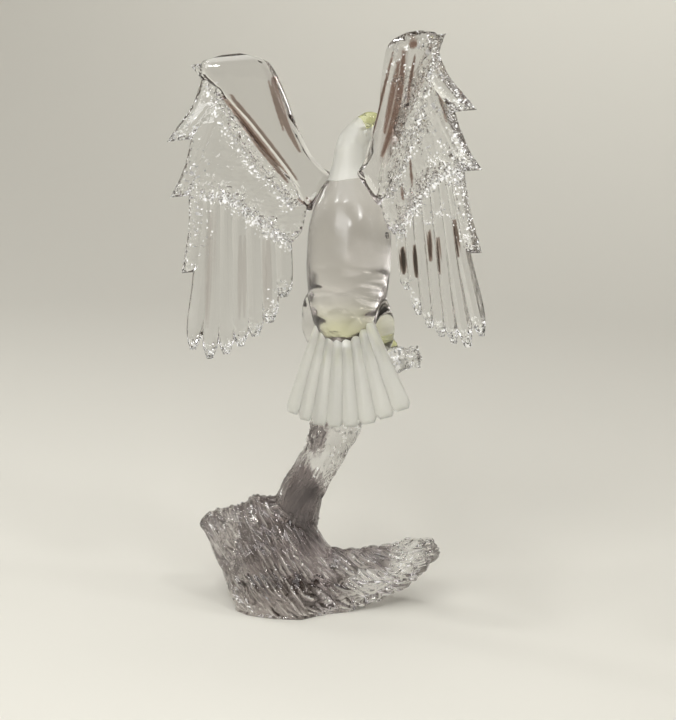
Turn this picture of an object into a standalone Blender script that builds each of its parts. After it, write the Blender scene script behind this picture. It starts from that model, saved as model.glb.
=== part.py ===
# Crystal eagle figurine: an eagle with raised wings that grips a branch, which
# rises from a root-shaped base. Metres, +Z up. The eagle faces -Y and its left
# side is at +X. The origin is on the underside of the base, under the eagle.

from math import cos, radians, sin, tau

import bmesh
import bpy
import numpy as np
from mathutils import Matrix

MM = 0.001

# Fit between pieces
GAP = 0.3 * MM                 # left free where two pieces meet

# Base and branch, in the base's own frame with +X along the high slab
BASE_TURN = radians(20)        # long side of the base against the shoulders
SLAB_END = 45.5 * MM           # from the origin to the slab's end
ROOT_END = 34.5 * MM           # from the origin to the root's end
SLAB_HEIGHT = 36 * MM
BASE_HALF_DEPTH = 19.4 * MM
GRAIN_DEPTH = 0.8 * MM         # of the broad waves in the wood
BRANCH_HEIGHT = 85.5 * MM      # level of the branch's middle at its cut end
TRUNK_RADIUS = 7.4 * MM
PERCH_RADIUS = 4.8 * MM
STUB_RADIUS = 4.2 * MM
PERCH_LEVEL = 0.98 * BRANCH_HEIGHT

# Body: heights run from the rump's lowest point to the nape
BODY_FOOT = PERCH_LEVEL + PERCH_RADIUS + 1.4 * GAP
BODY_HEIGHT = 61 * MM
BODY_HALF_WIDTH = 13.3 * MM
BODY_HALF_DEPTH = 13.0 * MM
BODY_CURVE = 1.6 * MM          # the rump lies this far to the left
BANK = radians(8.6)            # the eagle leans over to its left
BANK_LEVEL = BODY_FOOT + 0.835 * BODY_HEIGHT
THIGH_RADIUS = 5.9 * MM
FOOT_SPREAD = 6.4 * MM         # from the middle to each foot
TOE_RADIUS = 1.35 * MM
HEAD_TURN = radians(38)        # the eagle looks to its right
HEAD_LENGTH = 17.5 * MM        # from the nape to the tip of the beak
HEAD_HALF_WIDTH = 5.6 * MM

# Tail: a fan of feathers about a point inside the back
TAIL_LENGTH = 30 * MM
TAIL_COUNT = 8
TAIL_SPREAD = radians(41)
TAIL_CENTRE = 24 * MM          # from that point to the feathers' roots
TAIL_HALF = 1.5 * MM           # half thickness
TAIL_TILT = radians(18)
TAIL_HOLLOW = 0.3              # how far the fan's sides fold back
TAIL_LEVEL = BODY_FOOT + 0.10 * BODY_HEIGHT
TAIL_ROOT_Y = 0.285 * BODY_HEIGHT

# Wings: out from the middle of the back, up from the lowest feather tip
WING_REACH = 50 * MM
WING_HEIGHT = 92 * MM
WING_FOOT = BODY_FOOT + 0.017 * BODY_HEIGHT
WING_ROOT_Y = -0.1 * BODY_HEIGHT
WING_SWEEP = 1.07              # backward slope at the middle of the back
WING_CAMBER = 0.415            # part of that slope lost at the wing's outer edge
WING_LEAN = 0.10               # the top of the wing lies further forward
WING_WRAP = 7.5 * MM           # how far the root bends back round the shoulder
ARM_HALF = 3.1 * MM            # half thickness of the smooth leading plate
SCALLOP_HALF = 2.4 * MM        # of the short feathers below it
COVERT_HALF = 1.9 * MM         # of the second row
FLIGHT_HALF = 1.3 * MM         # of the long feathers
FEATHER_RIM = 0.55 * MM        # half thickness left at a feather's edge
FLIGHT_COUNT = 7
COVERT_COUNT = 6
SCALLOP_COUNT = 9


def clear_scene():
    for obj in list(bpy.data.objects):
        bpy.data.objects.remove(obj, do_unlink=True)


def crystal(name, colour, roughness):
    """Clear cast crystal. A frosted or carved piece is rougher."""
    mat = bpy.data.materials.new(name)
    mat.use_nodes = True
    shader = mat.node_tree.nodes["Principled BSDF"]
    shader.inputs["Base Color"].default_value = (*colour, 1)
    shader.inputs["Roughness"].default_value = roughness
    shader.inputs["Metallic"].default_value = 0
    shader.inputs["IOR"].default_value = 1.49
    shader.inputs["Transmission Weight"].default_value = 1
    return mat


def smooth_curve(keys, values, at):
    """Cubic curve through a few values, without overshoot between them."""
    keys, values, at = (np.asarray(a, float) for a in (keys, values, at))
    step = np.diff(keys)
    rise = np.diff(values) / step
    slope = np.zeros(len(keys))
    slope[0], slope[-1] = rise[0], rise[-1]
    same_way = rise[:-1] * rise[1:] > 0
    total = np.where(same_way, rise[:-1] + rise[1:], 1)
    slope[1:-1] = np.where(same_way, 2 * rise[:-1] * rise[1:] / total, 0)
    i = np.clip(np.searchsorted(keys, at) - 1, 0, len(keys) - 2)
    t = (at - keys[i]) / step[i]
    low = (1 + 2 * t) * (1 - t) ** 2 * values[i] + t * (1 - t) ** 2 * step[i] * slope[i]
    high = t * t * (3 - 2 * t) * values[i + 1] + t * t * (t - 1) * step[i] * slope[i + 1]
    return low + high


def solid(name, rings, coll):
    """Loft closed rings of equal length into one solid, capped at both ends."""
    rings = np.asarray(rings, float)
    sides = rings.shape[1]
    bm = bmesh.new()
    verts = [[bm.verts.new(p) for p in ring] for ring in rings]
    for low, high in zip(verts, verts[1:]):
        for j in range(sides):
            k = (j + 1) % sides
            bm.faces.new((low[j], low[k], high[k], high[j]))
    for ring in (verts[0], verts[-1]):
        for j in range(sides // 2 - 1):
            bm.faces.new((ring[j], ring[j + 1], ring[-2 - j], ring[-1 - j]))
    bmesh.ops.recalc_face_normals(bm, faces=bm.faces)
    mesh = bpy.data.meshes.new(name)
    bm.to_mesh(mesh)
    bm.free()
    obj = bpy.data.objects.new(name, mesh)
    coll.objects.link(obj)
    return obj


def combine(target, others, operation):
    """Boolean the others into the target and remove them."""
    for other in others:
        mod = target.modifiers.new(other.name, "BOOLEAN")
        mod.operation = operation
        mod.solver = "MANIFOLD"      # dozens of overlapping feathers defeat EXACT
        mod.object = other
    graph = bpy.context.evaluated_depsgraph_get()
    mesh = bpy.data.meshes.new_from_object(target.evaluated_get(graph))
    target.modifiers.clear()
    target.data = mesh
    for other in others:
        bpy.data.objects.remove(other, do_unlink=True)


def union(parts):
    combine(parts[0], parts[1:], "UNION")
    return parts[0]


def tube(name, path, wide, deep, yaw, coll, sides=12, bump=None):
    """Loft ellipses along a path. wide lies sideways, turned by yaw about Z."""
    path = np.asarray(path, float)
    along = np.gradient(path, axis=0)
    along /= np.linalg.norm(along, axis=1)[:, None]
    yaw = np.broadcast_to(yaw, len(path))
    side = np.stack([np.cos(yaw), np.sin(yaw), 0 * yaw], 1)
    side -= along * np.sum(side * along, 1)[:, None]
    side /= np.linalg.norm(side, axis=1)[:, None]
    deepward = np.cross(along, side)
    angle = (np.arange(sides) + 0.5) * tau / sides
    out = (wide[:, None, None] * np.cos(angle)[None, :, None] * side[:, None]
           + deep[:, None, None] * np.sin(angle)[None, :, None] * deepward[:, None])
    if bump is not None:
        row = np.arange(len(path))[:, None]
        out = out * (1 + bump(row, angle[None, :]))[..., None]
    return solid(name, path[:, None] + out, coll)


# Wings

def wing_points(w, z, offset):
    """Points at an offset behind the curved middle surface of the left wing."""
    root = 0.18 * WING_REACH
    wrap = WING_WRAP * np.exp(-(w / root) ** 2)
    slope = WING_SWEEP - 2 * WING_CAMBER * w / WING_REACH - 2 * w / root ** 2 * wrap
    y = WING_ROOT_Y + (WING_SWEEP - WING_CAMBER * w / WING_REACH) * w + wrap - WING_LEAN * (z - BANK_LEVEL)
    normal = np.stack([-slope, np.ones_like(w), np.full_like(w, WING_LEAN)], -1)
    normal /= np.linalg.norm(normal, axis=-1)[..., None]
    return np.stack([w, y, z], -1) + normal * offset[..., None]


def leaf(name, inner, outer, crown, rim, coll, across=5, fullness=2.0):
    """A closed blade between two edges given as (out, up) shares of the wing."""
    inner, outer = np.asarray(inner, float), np.asarray(outer, float)
    crown = np.broadcast_to(crown, len(inner))[:, None]
    rim = np.broadcast_to(rim, len(inner))[:, None]
    quarter = radians(72)             # strips get narrower towards the edges
    t = np.sin(np.linspace(-quarter, quarter, across)) / sin(quarter)
    share = (t + 1)[None, :, None] / 2
    flat = inner[:, None] * (1 - share) + outer[:, None] * share
    w = flat[..., 0] * WING_REACH
    z = WING_FOOT + flat[..., 1] * WING_HEIGHT
    offset = rim + (crown - rim) * (1 - np.abs(t)[None] ** fullness)
    back = wing_points(w, z, offset)
    front = wing_points(w, z, -offset)
    return solid(name, np.concatenate([back, front[:, ::-1]], 1), coll)


def rows(up, inner, outer):
    """Edges of a leaf that is cut into level rows."""
    up, inner, outer = (np.asarray(a, float) for a in (up, inner, outer))
    return np.stack([inner, up], 1), np.stack([outer, up], 1)


def arm_plate(coll):
    """Smooth leading plate, which widens from the shoulder to a round top."""
    up = [0.455, 0.48, 0.53, 0.56, 0.59, 0.64, 0.76, 0.88, 0.955, 0.985, 1.0]
    inner = [0.205, 0.165, 0.098, 0.076, 0.132, 0.203, 0.28, 0.337, 0.39, 0.46, 0.54]
    outer = [0.25, 0.284, 0.32, 0.344, 0.372, 0.42, 0.56, 0.68, 0.765, 0.75, 0.64]
    crown = ARM_HALF * np.array([0.6, 0.9, 1, 1, 1, 1, 1, 1, 0.95, 0.75, 0.35])
    return leaf("arm", *rows(up, inner, outer), crown, FEATHER_RIM, coll, fullness=4.0)


def edge_feathers(coll):
    """Horn at the top and three feathers whose cut tips step down the edge."""
    rim = 1.3 * FEATHER_RIM
    horn = rows([0.90, 0.93, 0.955, 0.978], [0.60, 0.62, 0.62, 0.64], [0.74, 0.765, 0.79, 0.82])
    top = rows([0.95, 0.85, 0.785, 0.735], [0.56, 0.64, 0.735, 0.84], [0.745, 0.82, 0.915, 0.99])
    middle = rows([0.80, 0.69, 0.61, 0.55], [0.58, 0.71, 0.80, 0.875], [0.82, 0.87, 0.93, 1.0])
    low = rows([0.60, 0.47, 0.37, 0.295], [0.76, 0.787, 0.817, 0.84], [0.88, 0.895, 0.93, 0.965])
    return [leaf("horn", *horn, COVERT_HALF, rim, coll),
            leaf("edge_top", *top, COVERT_HALF, rim, coll),
            leaf("edge_middle", *middle, 0.95 * COVERT_HALF, rim, coll),
            leaf("edge_low", *low, 1.15 * FLIGHT_HALF, rim, coll)]


def flight_feather(i, coll):
    """Long feather number i, counted from the outermost inwards."""
    share = i / (FLIGHT_COUNT - 1)
    tip_out = 0.905 - 0.50 * share
    tip_up = smooth_curve([0, 0.17, 0.5, 0.83, 1], [0.036, 0.0, 0.03, 0.095, 0.175], share)
    fan = smooth_curve([0, 0.3, 1], [0.24, 0.12, 0.05], share)
    bend = 0.10 * max(0, 1 - 3 * share)
    down = np.array([1.0, 0.42, 0.09, 0.0])
    up = tip_up + down * (0.58 - tip_up)
    centre = tip_out - fan * (up - tip_up) + bend * np.clip(0.25 - (up - tip_up), 0, 1)
    width = 0.364 / FLIGHT_COUNT * np.array([0.85, 1, 0.9, 0.35])
    crown = FLIGHT_HALF * np.array([1, 1, 0.95, 0.7])
    return leaf(f"flight_{i}", *rows(up, centre - width, centre + width), crown, FEATHER_RIM, coll)


def short_feather(name, root, tip, half, crown, coll):
    """Covert feather with a blunt tip. half is its half width."""
    root, tip = np.array(root, float), np.array(tip, float)
    size = np.array([WING_REACH, WING_HEIGHT])
    along = (tip - root) * size
    along /= np.linalg.norm(along)
    cross = np.array([along[1], -along[0]]) * -half / size
    centre = root + (tip - root) * np.array([0, 0.75, 1.0])[:, None]
    width = np.array([1, 1, 0.5])[:, None]
    return leaf(name, centre - cross * width, centre + cross * width, crown, 0.7 * crown, coll,
                across=3)


def coverts(coll):
    """Two rows of short feathers, along the arm plate and further down."""
    leaves = []
    for i in range(COVERT_COUNT):
        share = (i + 0.5) / COVERT_COUNT
        tip = [smooth_curve([0, 0.45, 1], [0.87, 0.62, 0.34], share),
               smooth_curve([0, 0.3, 0.6, 1], [0.545, 0.53, 0.45, 0.335], share)]
        root = [0.66 - 0.38 * share, 0.88 - 0.38 * share]
        half = 0.4 * WING_REACH / COVERT_COUNT
        leaves.append(short_feather(f"covert_{i}", root, tip, half, COVERT_HALF, coll))
    for i in range(SCALLOP_COUNT):
        share = (i + 0.5) / SCALLOP_COUNT
        tip = np.array([smooth_curve([0, 0.35, 1], [0.745, 0.61, 0.345], share),
                        smooth_curve([0, 0.35, 1], [0.90, 0.71, 0.47], share)])
        root = tip + np.array([-0.17, 0.055])
        half = 0.47 * WING_REACH / SCALLOP_COUNT
        leaves.append(short_feather(f"scallop_{i}", root, tip, half, SCALLOP_HALF, coll))
    return leaves


def wing(side, coll):
    """One wing, cut to lie against the body. The right one is a mirror image."""
    flights = [flight_feather(i, coll) for i in range(FLIGHT_COUNT)]
    obj = union([arm_plate(coll)] + edge_feathers(coll) + flights + coverts(coll))
    if side < 0:
        obj.data.transform(Matrix.Scale(-1, 4, (1, 0, 0)))
        obj.data.flip_normals()
    combine(obj, body_forms(coll, grow=GAP), "DIFFERENCE")
    return bank(obj)


def bank(obj):
    """Lean a part of the eagle over to its left."""
    pivot = Matrix.Translation((0, 0, BANK_LEVEL))
    obj.data.transform(pivot @ Matrix.Rotation(BANK, 4, "Y") @ pivot.inverted())
    return obj


# Body

def torso(coll, grow):
    keys = np.array([0.0, 0.05, 0.14, 0.27, 0.42, 0.56, 0.67, 0.76, 0.84, 0.92, 1.0])
    wide = np.array([0.30, 0.60, 0.82, 0.94, 1.0, 0.98, 0.88, 0.72, 0.54, 0.40, 0.355])
    deep = np.array([0.26, 0.56, 0.74, 0.88, 0.98, 1.0, 0.92, 0.76, 0.58, 0.45, 0.39])
    y = smooth_curve([0, 0.26, 0.51, 0.75, 0.84, 1.0], [0.246, 0.177, 0.098, 0.025, 0.003, -0.033], keys)
    path = np.stack([BODY_CURVE * (1 - keys) ** 2, y * BODY_HEIGHT, BODY_FOOT + keys * BODY_HEIGHT], 1)
    return tube("torso", path, wide * BODY_HALF_WIDTH + grow, deep * BODY_HALF_DEPTH + grow,
                0.0, coll, sides=20)


def head(coll, grow):
    """Skull and hooked beak along a path that turns forward and to the right."""
    ahead = np.array([-0.02, 0.05, 0.125, 0.21, 0.29, 0.35, 0.415, 0.50, 0.59, 0.68, 0.73]) * HEAD_LENGTH
    rise = np.array([-0.23, -0.06, 0.08, 0.20, 0.30, 0.37, 0.415, 0.45, 0.455, 0.39, 0.30]) * HEAD_LENGTH
    wide = np.array([0.82, 0.88, 0.88, 0.83, 0.71, 0.53, 0.43, 0.375, 0.29, 0.18, 0.06])
    deep = np.array([0.86, 0.88, 0.84, 0.77, 0.68, 0.56, 0.48, 0.44, 0.36, 0.23, 0.07])
    yaw = -HEAD_TURN * np.clip(5 * ahead / HEAD_LENGTH, 0, 1)
    path = np.stack([ahead * np.sin(yaw), -0.03 * BODY_HEIGHT - ahead * np.cos(yaw),
                     BODY_FOOT + BODY_HEIGHT + rise], 1)
    return tube("head", path, wide * HEAD_HALF_WIDTH + grow, deep * HEAD_HALF_WIDTH + grow,
                yaw, coll, sides=12)


def thigh(side, coll, grow):
    """Feathered thigh that bulges out beside the rump and narrows to the foot."""
    out = np.array([0.50, 0.63, 0.69, 0.66, 0.52]) * BODY_HALF_WIDTH
    y = np.array([0.19, 0.18, 0.16, 0.13, 0.10]) * BODY_HEIGHT
    up = np.array([0.30, 0.22, 0.11, 0.02, -0.03]) * BODY_HEIGHT
    path = np.stack([1.4 * BODY_CURVE + side * out, y, BODY_FOOT + up], 1)
    radius = THIGH_RADIUS * np.array([0.55, 0.88, 1.0, 0.84, 0.5]) + grow
    return tube("thigh", path, radius, radius, 0.0, coll, sides=10)


def body_forms(coll, grow=0.0):
    return [torso(coll, grow), head(coll, grow)] + [thigh(side, coll, grow) for side in (1, -1)]


def foot(side, coll):
    """Short shank, three toes over the front of the branch and one behind."""
    ring = PERCH_RADIUS + 0.45 * TOE_RADIUS
    x, y = side * FOOT_SPREAD, 0.066 * BODY_HEIGHT
    parts = []
    for spread, reach in ((-0.55, -1), (0.0, -1), (0.55, -1), (0.0, 1)):
        angle = radians(90) * np.array([-0.12, 0.2, 0.55, 0.9, 1.2])
        sway = spread * 0.8 * ring * np.sin(np.clip(angle, 0, 2))
        path = np.stack([x + sway, y + reach * ring * np.sin(angle),
                         PERCH_LEVEL + ring * np.cos(angle)], 1)
        radius = TOE_RADIUS * np.array([1.0, 1.15, 1.0, 0.8, 0.3])
        parts.append(tube("toe", path, radius, radius, 0.0, coll, sides=6))
    rise = np.array([2.2, 0.4, -0.6]) * TOE_RADIUS
    path = np.stack([np.full(3, x), y + 0.25 * rise, PERCH_LEVEL + ring + rise], 1)
    radius = TOE_RADIUS * np.array([1.7, 1.5, 1.6])
    parts.append(tube("shank", path, radius, radius, 0.0, coll, sides=8))
    return parts


def tail_feather(i, coll):
    """One feather of the fan, with a rounded tip and a thinner edge."""
    share = i / (TAIL_COUNT - 1) * 2 - 1
    angle = share * TAIL_SPREAD / 2
    length = TAIL_LENGTH * (1 - 0.06 * share * share)
    radius = TAIL_CENTRE + np.array([0, 0.5, 0.92, 1.0]) * length
    half = 0.64 * radius * TAIL_SPREAD / TAIL_COUNT * np.array([1, 1, 0.96, 0.6])
    thick = TAIL_HALF * np.array([1.5, 1.2, 0.85, 0.6])
    t = np.array([-1, 0, 1])
    across = radius[:, None] * sin(angle) + t * half[:, None] * cos(angle)
    down = radius[:, None] * cos(angle) - t * half[:, None] * sin(angle) - TAIL_CENTRE
    offset = thick[:, None] * (1 - 0.5 * t * t)
    fold = -TAIL_HOLLOW * across ** 2 / TAIL_LENGTH
    faces = []
    for sign in (1, -1):
        back = sign * offset + fold
        faces.append(np.stack([across + 0.6 * BODY_CURVE,
                               TAIL_ROOT_Y + down * sin(TAIL_TILT) + back * cos(TAIL_TILT),
                               TAIL_LEVEL - down * cos(TAIL_TILT) + back * sin(TAIL_TILT)], -1))
    return solid(f"tail_{i}", np.concatenate([faces[0], faces[1][:, ::-1]], 1), coll)


def body(coll):
    """Torso, head, thighs, feet and tail in one, resting on the branch."""
    toes = [part for side in (1, -1) for part in foot(side, coll)]
    tail = [tail_feather(i, coll) for i in range(TAIL_COUNT)]
    obj = bank(union(body_forms(coll) + toes + tail))
    combine(obj, [branch(coll, grow=GAP, perch_only=True)], "DIFFERENCE")
    return obj


# Base and branch

def to_base(points):
    """Turn points from the base's own frame into the eagle's."""
    c, s = cos(BASE_TURN), sin(BASE_TURN)
    return np.asarray(points, float) @ np.array([[c, s, 0], [-s, c, 0], [0, 0, 1]])


def knots(row, angle):
    """Uneven swellings round the trunk, fading out towards the perch."""
    rough = np.sin(2 * angle + 0.9 * row) * np.sin(1.7 * row + 1) + 0.6 * np.sin(5 * angle - 0.4 * row)
    return 0.045 * rough * np.clip((14 - row) / 4, 0, 1)


def branch(coll, grow=0.0, perch_only=False):
    """Trunk that leans over and levels out into the perch and a cut stub."""
    keys = [0, 0.10, 0.22, 0.30, 0.40, 0.55, 0.68, 0.78, 0.88, 1.0]
    x = [0.187, 0.171, 0.136, 0.105, 0.070, 0.021, -0.041, -0.105, -0.193, -0.287]
    y = [0, 0, 0.006, 0.014, 0.026, 0.049, 0.070, 0.076, 0.076, 0.074]
    z = [0.140, 0.327, 0.450, 0.511, 0.585, 0.731, 0.883, 0.953, 0.982, 1.0]
    radius = [r * TRUNK_RADIUS for r in (1.35, 1.15, 1.0, 0.96, 0.98, 1.12, 0.95)]
    radius += [PERCH_RADIUS, STUB_RADIUS, STUB_RADIUS]
    share = np.linspace(0.62, 1, 9) if perch_only else np.linspace(0, 1, 19)
    path = np.stack([smooth_curve(keys, v, share) for v in (x, y, z)], 1) * BRANCH_HEIGHT
    r = smooth_curve(keys, radius, share) + grow
    return tube("branch", to_base(path), r, r, BASE_TURN + radians(90), coll, sides=14,
                bump=None if perch_only else knots)


def root(coll):
    """Slab and root, lofted along the base from the slab's end to the root's."""
    ends = [0, 0.02, 0.055, 0.1, 0.14, 0.17], [0.945, 0.975, 1]
    share = np.concatenate([ends[0], np.arange(0.22, 0.92, 0.05), ends[1]])
    x = SLAB_END - share * (SLAB_END + ROOT_END)
    top = smooth_curve([0, 0.02, 0.056, 0.16, 0.228, 0.30, 0.42, 0.50, 0.55, 0.60, 0.76, 0.89, 0.955, 1],
                       [0.76, 0.80, 0.835, 0.90, 1, 0.985, 0.86, 0.66, 0.53, 0.51, 0.56, 0.64, 0.655, 0.52],
                       share) * SLAB_HEIGHT
    low = smooth_curve([0, 0.025, 0.06, 0.10, 0.14, 0.165, 0.61, 0.66, 0.76, 0.86, 0.92, 0.96, 1],
                       [0.66, 0.58, 0.42, 0.22, 0.06, 0, 0, 0.015, 0.06, 0.15, 0.26, 0.37, 0.44],
                       share) * SLAB_HEIGHT
    half = smooth_curve([0, 0.03, 0.08, 0.165, 0.22, 0.35, 0.42, 0.50, 0.56, 0.63, 0.75, 0.88, 0.96, 1],
                        [0.22, 0.33, 0.48, 0.68, 0.88, 1, 1, 0.80, 0.66, 0.56, 0.46, 0.40, 0.28, 0.12],
                        share) * BASE_HALF_DEPTH

    # Section from the crest down one side: flat below where the base stands
    # (first list of each pair), round where its ends rise off the ground.
    stand = np.clip(1 - 7 * low / SLAB_HEIGHT, 0, 1)[:, None]
    up = (stand * np.array([1, 0.96, 0.87, 0.74, 0.58, 0.42, 0.26, 0.11, 0, 0])
          + (1 - stand) * np.array([1, 0.97, 0.90, 0.80, 0.68, 0.54, 0.40, 0.24, 0.09, 0]))
    out = (stand * np.array([0.10, 0.27, 0.44, 0.59, 0.73, 0.85, 0.95, 1, 0.96, 0.35])
           + (1 - stand) * np.array([0.16, 0.40, 0.62, 0.80, 0.93, 1, 0.97, 0.85, 0.60, 0.22]))
    side = np.repeat([1, -1], up.shape[1])
    up = np.concatenate([up, up[:, ::-1]], 1)
    out = np.concatenate([out, out[:, ::-1]], 1)
    half, low, top, along = half[:, None], low[:, None], top[:, None], share[:, None]
    wave = np.sin(side * 9 * up + 14 * along) + 0.6 * np.sin(side * 17 * up - 9 * along)
    fade = np.clip(6 * up * (1 - up), 0, 1) * np.minimum(1, 1.6 * half / BASE_HALF_DEPTH)
    depth = side * (half * out + GRAIN_DEPTH * wave * fade)
    level = low + (top - low) * up
    rings = np.stack([np.broadcast_to(x[:, None], depth.shape), depth, level], -1)
    return solid("root", to_base(rings), coll)


def drop_specks(bm):
    """Keep the largest shell: overlapping feathers can leave flat specks behind."""
    shells, left = [], set(bm.verts)
    while left:
        shell, edge_of_shell = set(), {left.pop()}
        while edge_of_shell:
            shell |= edge_of_shell
            reached = {e.other_vert(v) for v in edge_of_shell for e in v.link_edges}
            edge_of_shell = reached - shell
        left -= shell
        shells.append(shell)
    specks = set(bm.verts) - max(shells, key=len)
    bmesh.ops.delete(bm, geom=list(specks), context="VERTS")


def triangulate_mesh(obj):
    """Triangulate, and first split the faces whose diagonals would coincide."""
    bm = bmesh.new()
    bm.from_mesh(obj.data)
    drop_specks(bm)
    bm.verts.index_update()
    trial = bm.copy()
    bmesh.ops.triangulate(trial, faces=trial.faces)
    trial.verts.index_update()
    clashes = [{v.index for v in edge.verts} for edge in trial.edges if not edge.is_manifold]
    trial.free()
    split = set()
    for pair in clashes:
        holders = [f for f in bm.faces if len(f.verts) > 3 and pair <= {v.index for v in f.verts}]
        split.add(min(holders, key=lambda f: len(f.verts)))
    bmesh.ops.poke(bm, faces=list(split))
    bmesh.ops.triangulate(bm, faces=bm.faces)
    bm.to_mesh(obj.data)
    bm.free()


def build():
    clear_scene()
    work = bpy.data.collections.new("work")
    coll = bpy.data.collections.new("crystal_eagle")
    for c in (work, coll):
        bpy.context.scene.collection.children.link(c)

    clear, frosted = (0.93, 0.95, 0.95), (0.90, 0.92, 0.91)
    pieces = {"branch_base": (union([root(work), branch(work)]), clear, 0.05),
              "eagle_body": (body(work), frosted, 0.12),
              "left_wing": (wing(1, work), clear, 0.03),
              "right_wing": (wing(-1, work), clear, 0.03)}
    for name, (obj, colour, roughness) in pieces.items():
        triangulate_mesh(obj)
        obj.name = obj.data.name = name
        obj.data.materials.clear()
        obj.data.materials.append(crystal(f"{name}_crystal", colour, roughness))
        work.objects.unlink(obj)
        coll.objects.link(obj)


build()
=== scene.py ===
# Crystal eagle figurine on a pale studio floor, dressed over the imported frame.

import time
from math import cos, pi, radians, sin

import bpy
import numpy as np
from mathutils import Matrix, Vector


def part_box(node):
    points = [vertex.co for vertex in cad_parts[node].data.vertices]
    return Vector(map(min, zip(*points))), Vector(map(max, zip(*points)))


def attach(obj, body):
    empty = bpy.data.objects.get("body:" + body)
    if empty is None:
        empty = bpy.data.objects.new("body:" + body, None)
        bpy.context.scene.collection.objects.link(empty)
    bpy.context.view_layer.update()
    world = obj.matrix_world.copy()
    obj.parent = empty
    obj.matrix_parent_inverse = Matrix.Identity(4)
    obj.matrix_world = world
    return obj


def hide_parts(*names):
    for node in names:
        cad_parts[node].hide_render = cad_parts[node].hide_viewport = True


mm = 0.001
started = time.time()
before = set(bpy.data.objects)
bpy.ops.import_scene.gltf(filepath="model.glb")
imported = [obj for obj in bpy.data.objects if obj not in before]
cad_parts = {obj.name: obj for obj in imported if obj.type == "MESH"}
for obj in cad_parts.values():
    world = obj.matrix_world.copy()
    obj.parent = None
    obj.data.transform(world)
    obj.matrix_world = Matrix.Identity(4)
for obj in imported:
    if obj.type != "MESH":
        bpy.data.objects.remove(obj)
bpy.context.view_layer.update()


def linearColour(hexValue, alpha=1.0):
    # sRGB hex value to the linear colour that shaders use
    parts = [int(hexValue[i:i + 2], 16) / 255 for i in (1, 3, 5)]
    return tuple(((c + 0.055) / 1.055) ** 2.4 if c > 0.04045 else c / 12.92 for c in parts) + (alpha,)


def report(stage):
    print(f"{stage}: {time.time() - started:.1f} s")


# Camera

photoView = {
    "place": (-0.1594, 0.4434, 0.1863),   # metres, behind the eagle and a little to its right
    "heading": 200.0,                     # degrees round Z, from facing +Y
    "pitch": 12.49,                       # degrees below level
    "roll": 2.05,                         # degrees, the photograph is tilted a little
    "lens": 75.0,                         # mm on a 36 mm sensor
}


def setCamera():
    data = bpy.data.cameras.new("photoCamera")
    data.lens = photoView["lens"]
    data.sensor_width = 36
    data.clip_start = 0.01
    data.clip_end = 50
    camera = bpy.data.objects.new("photoCamera", data)
    turn = Matrix.Rotation(radians(photoView["heading"]), 4, "Z")
    tilt = Matrix.Rotation(radians(90 - photoView["pitch"]), 4, "X")
    roll = Matrix.Rotation(radians(photoView["roll"]), 4, "Z")
    camera.matrix_world = Matrix.Translation(photoView["place"]) @ turn @ tilt @ roll
    bpy.context.collection.objects.link(camera)
    bpy.context.scene.camera = camera


setCamera()
report("camera placed")


# Shapes worked out on grids

def smoothCurve(keys, values, at):
    # Cubic through a few values with no overshoot: slopes are harmonic means of the rises beside them
    keys, values, at = (np.asarray(a, float) for a in (keys, values, at))
    step = np.diff(keys)
    rise = np.diff(values) / step
    slope = np.zeros(len(keys))
    slope[0], slope[-1] = rise[0], rise[-1]
    sameWay = rise[:-1] * rise[1:] > 0
    slope[1:-1] = np.where(sameWay, 2 * rise[:-1] * rise[1:] / np.where(sameWay, rise[:-1] + rise[1:], 1), 0)
    i = np.clip(np.searchsorted(keys, at) - 1, 0, len(keys) - 2)
    t = (at - keys[i]) / step[i]
    low = (1 + 2 * t) * (1 - t) ** 2 * values[i] + t * (1 - t) ** 2 * step[i] * slope[i]
    high = t * t * (3 - 2 * t) * values[i + 1] + t * t * (t - 1) * step[i] * slope[i + 1]
    return low + high


def smoothColumns(keys, values, at):
    return np.stack([smoothCurve(keys, column, at) for column in np.asarray(values, float).T], -1)


def ease(x):
    # 0 to 1 with soft ends
    x = np.clip(x, 0, 1)
    return x * x * (3 - 2 * x)


def rounded(share, least):
    # Quarter circle: how full a rounded edge is at this share of the way in
    return np.sqrt(np.clip(1 - (1 - np.clip(share, least, 1)) ** 2, 0, 1))


def between(x, low, high, fadeIn, fadeOut):
    # 1 between two levels, with soft edges inside them
    return ease((x - low) / fadeIn) * ease((high - x) / fadeOut)


def scatter(cell, salt):
    # The same number between 0 and 1 every time for each whole-number cell
    return np.modf(np.abs(np.sin(cell @ np.array([12.9898, 78.233, 37.719]) + salt) * 43758.5453))[0]


def scatterThree(cell, salt):
    return np.stack([scatter(cell, salt + n) for n in range(3)], -1)


def chips(points, size):
    # One scattered point in each cube: distance to the nearest point, and how much further
    # the second nearest is, both in cube widths. The first makes pits, the second ridged chips.
    p = np.asarray(points) / size
    base = np.floor(p)
    near = np.full(p.shape[:-1], 9.0)
    second = near.copy()
    for step in np.ndindex(3, 3, 3):
        cell = base + np.array(step) - 1
        d = np.linalg.norm(p - (cell + scatterThree(cell, 1.0)), axis=-1)
        second = np.minimum(second, np.maximum(near, d))
        near = np.minimum(near, d)
    return near, second - near


def facets(points, size):
    # Each scattered point's cell is one flat cut, tilted its own way: height in cell widths, -0.5 to 0.5
    p = np.asarray(points) / size
    base = np.floor(p)
    near = np.full(p.shape[:-1], 9.0)
    height = 0 * near
    for step in np.ndindex(3, 3, 3):
        cell = base + np.array(step) - 1
        away = p - cell - scatterThree(cell, 1.0)
        lean = scatterThree(cell, 4.0) - 0.5
        d = np.linalg.norm(away, axis=-1)
        height = np.where(d < near, np.sum(away * lean, -1) / np.linalg.norm(lean, axis=-1), height)
        near = np.minimum(near, d)
    return height


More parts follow.
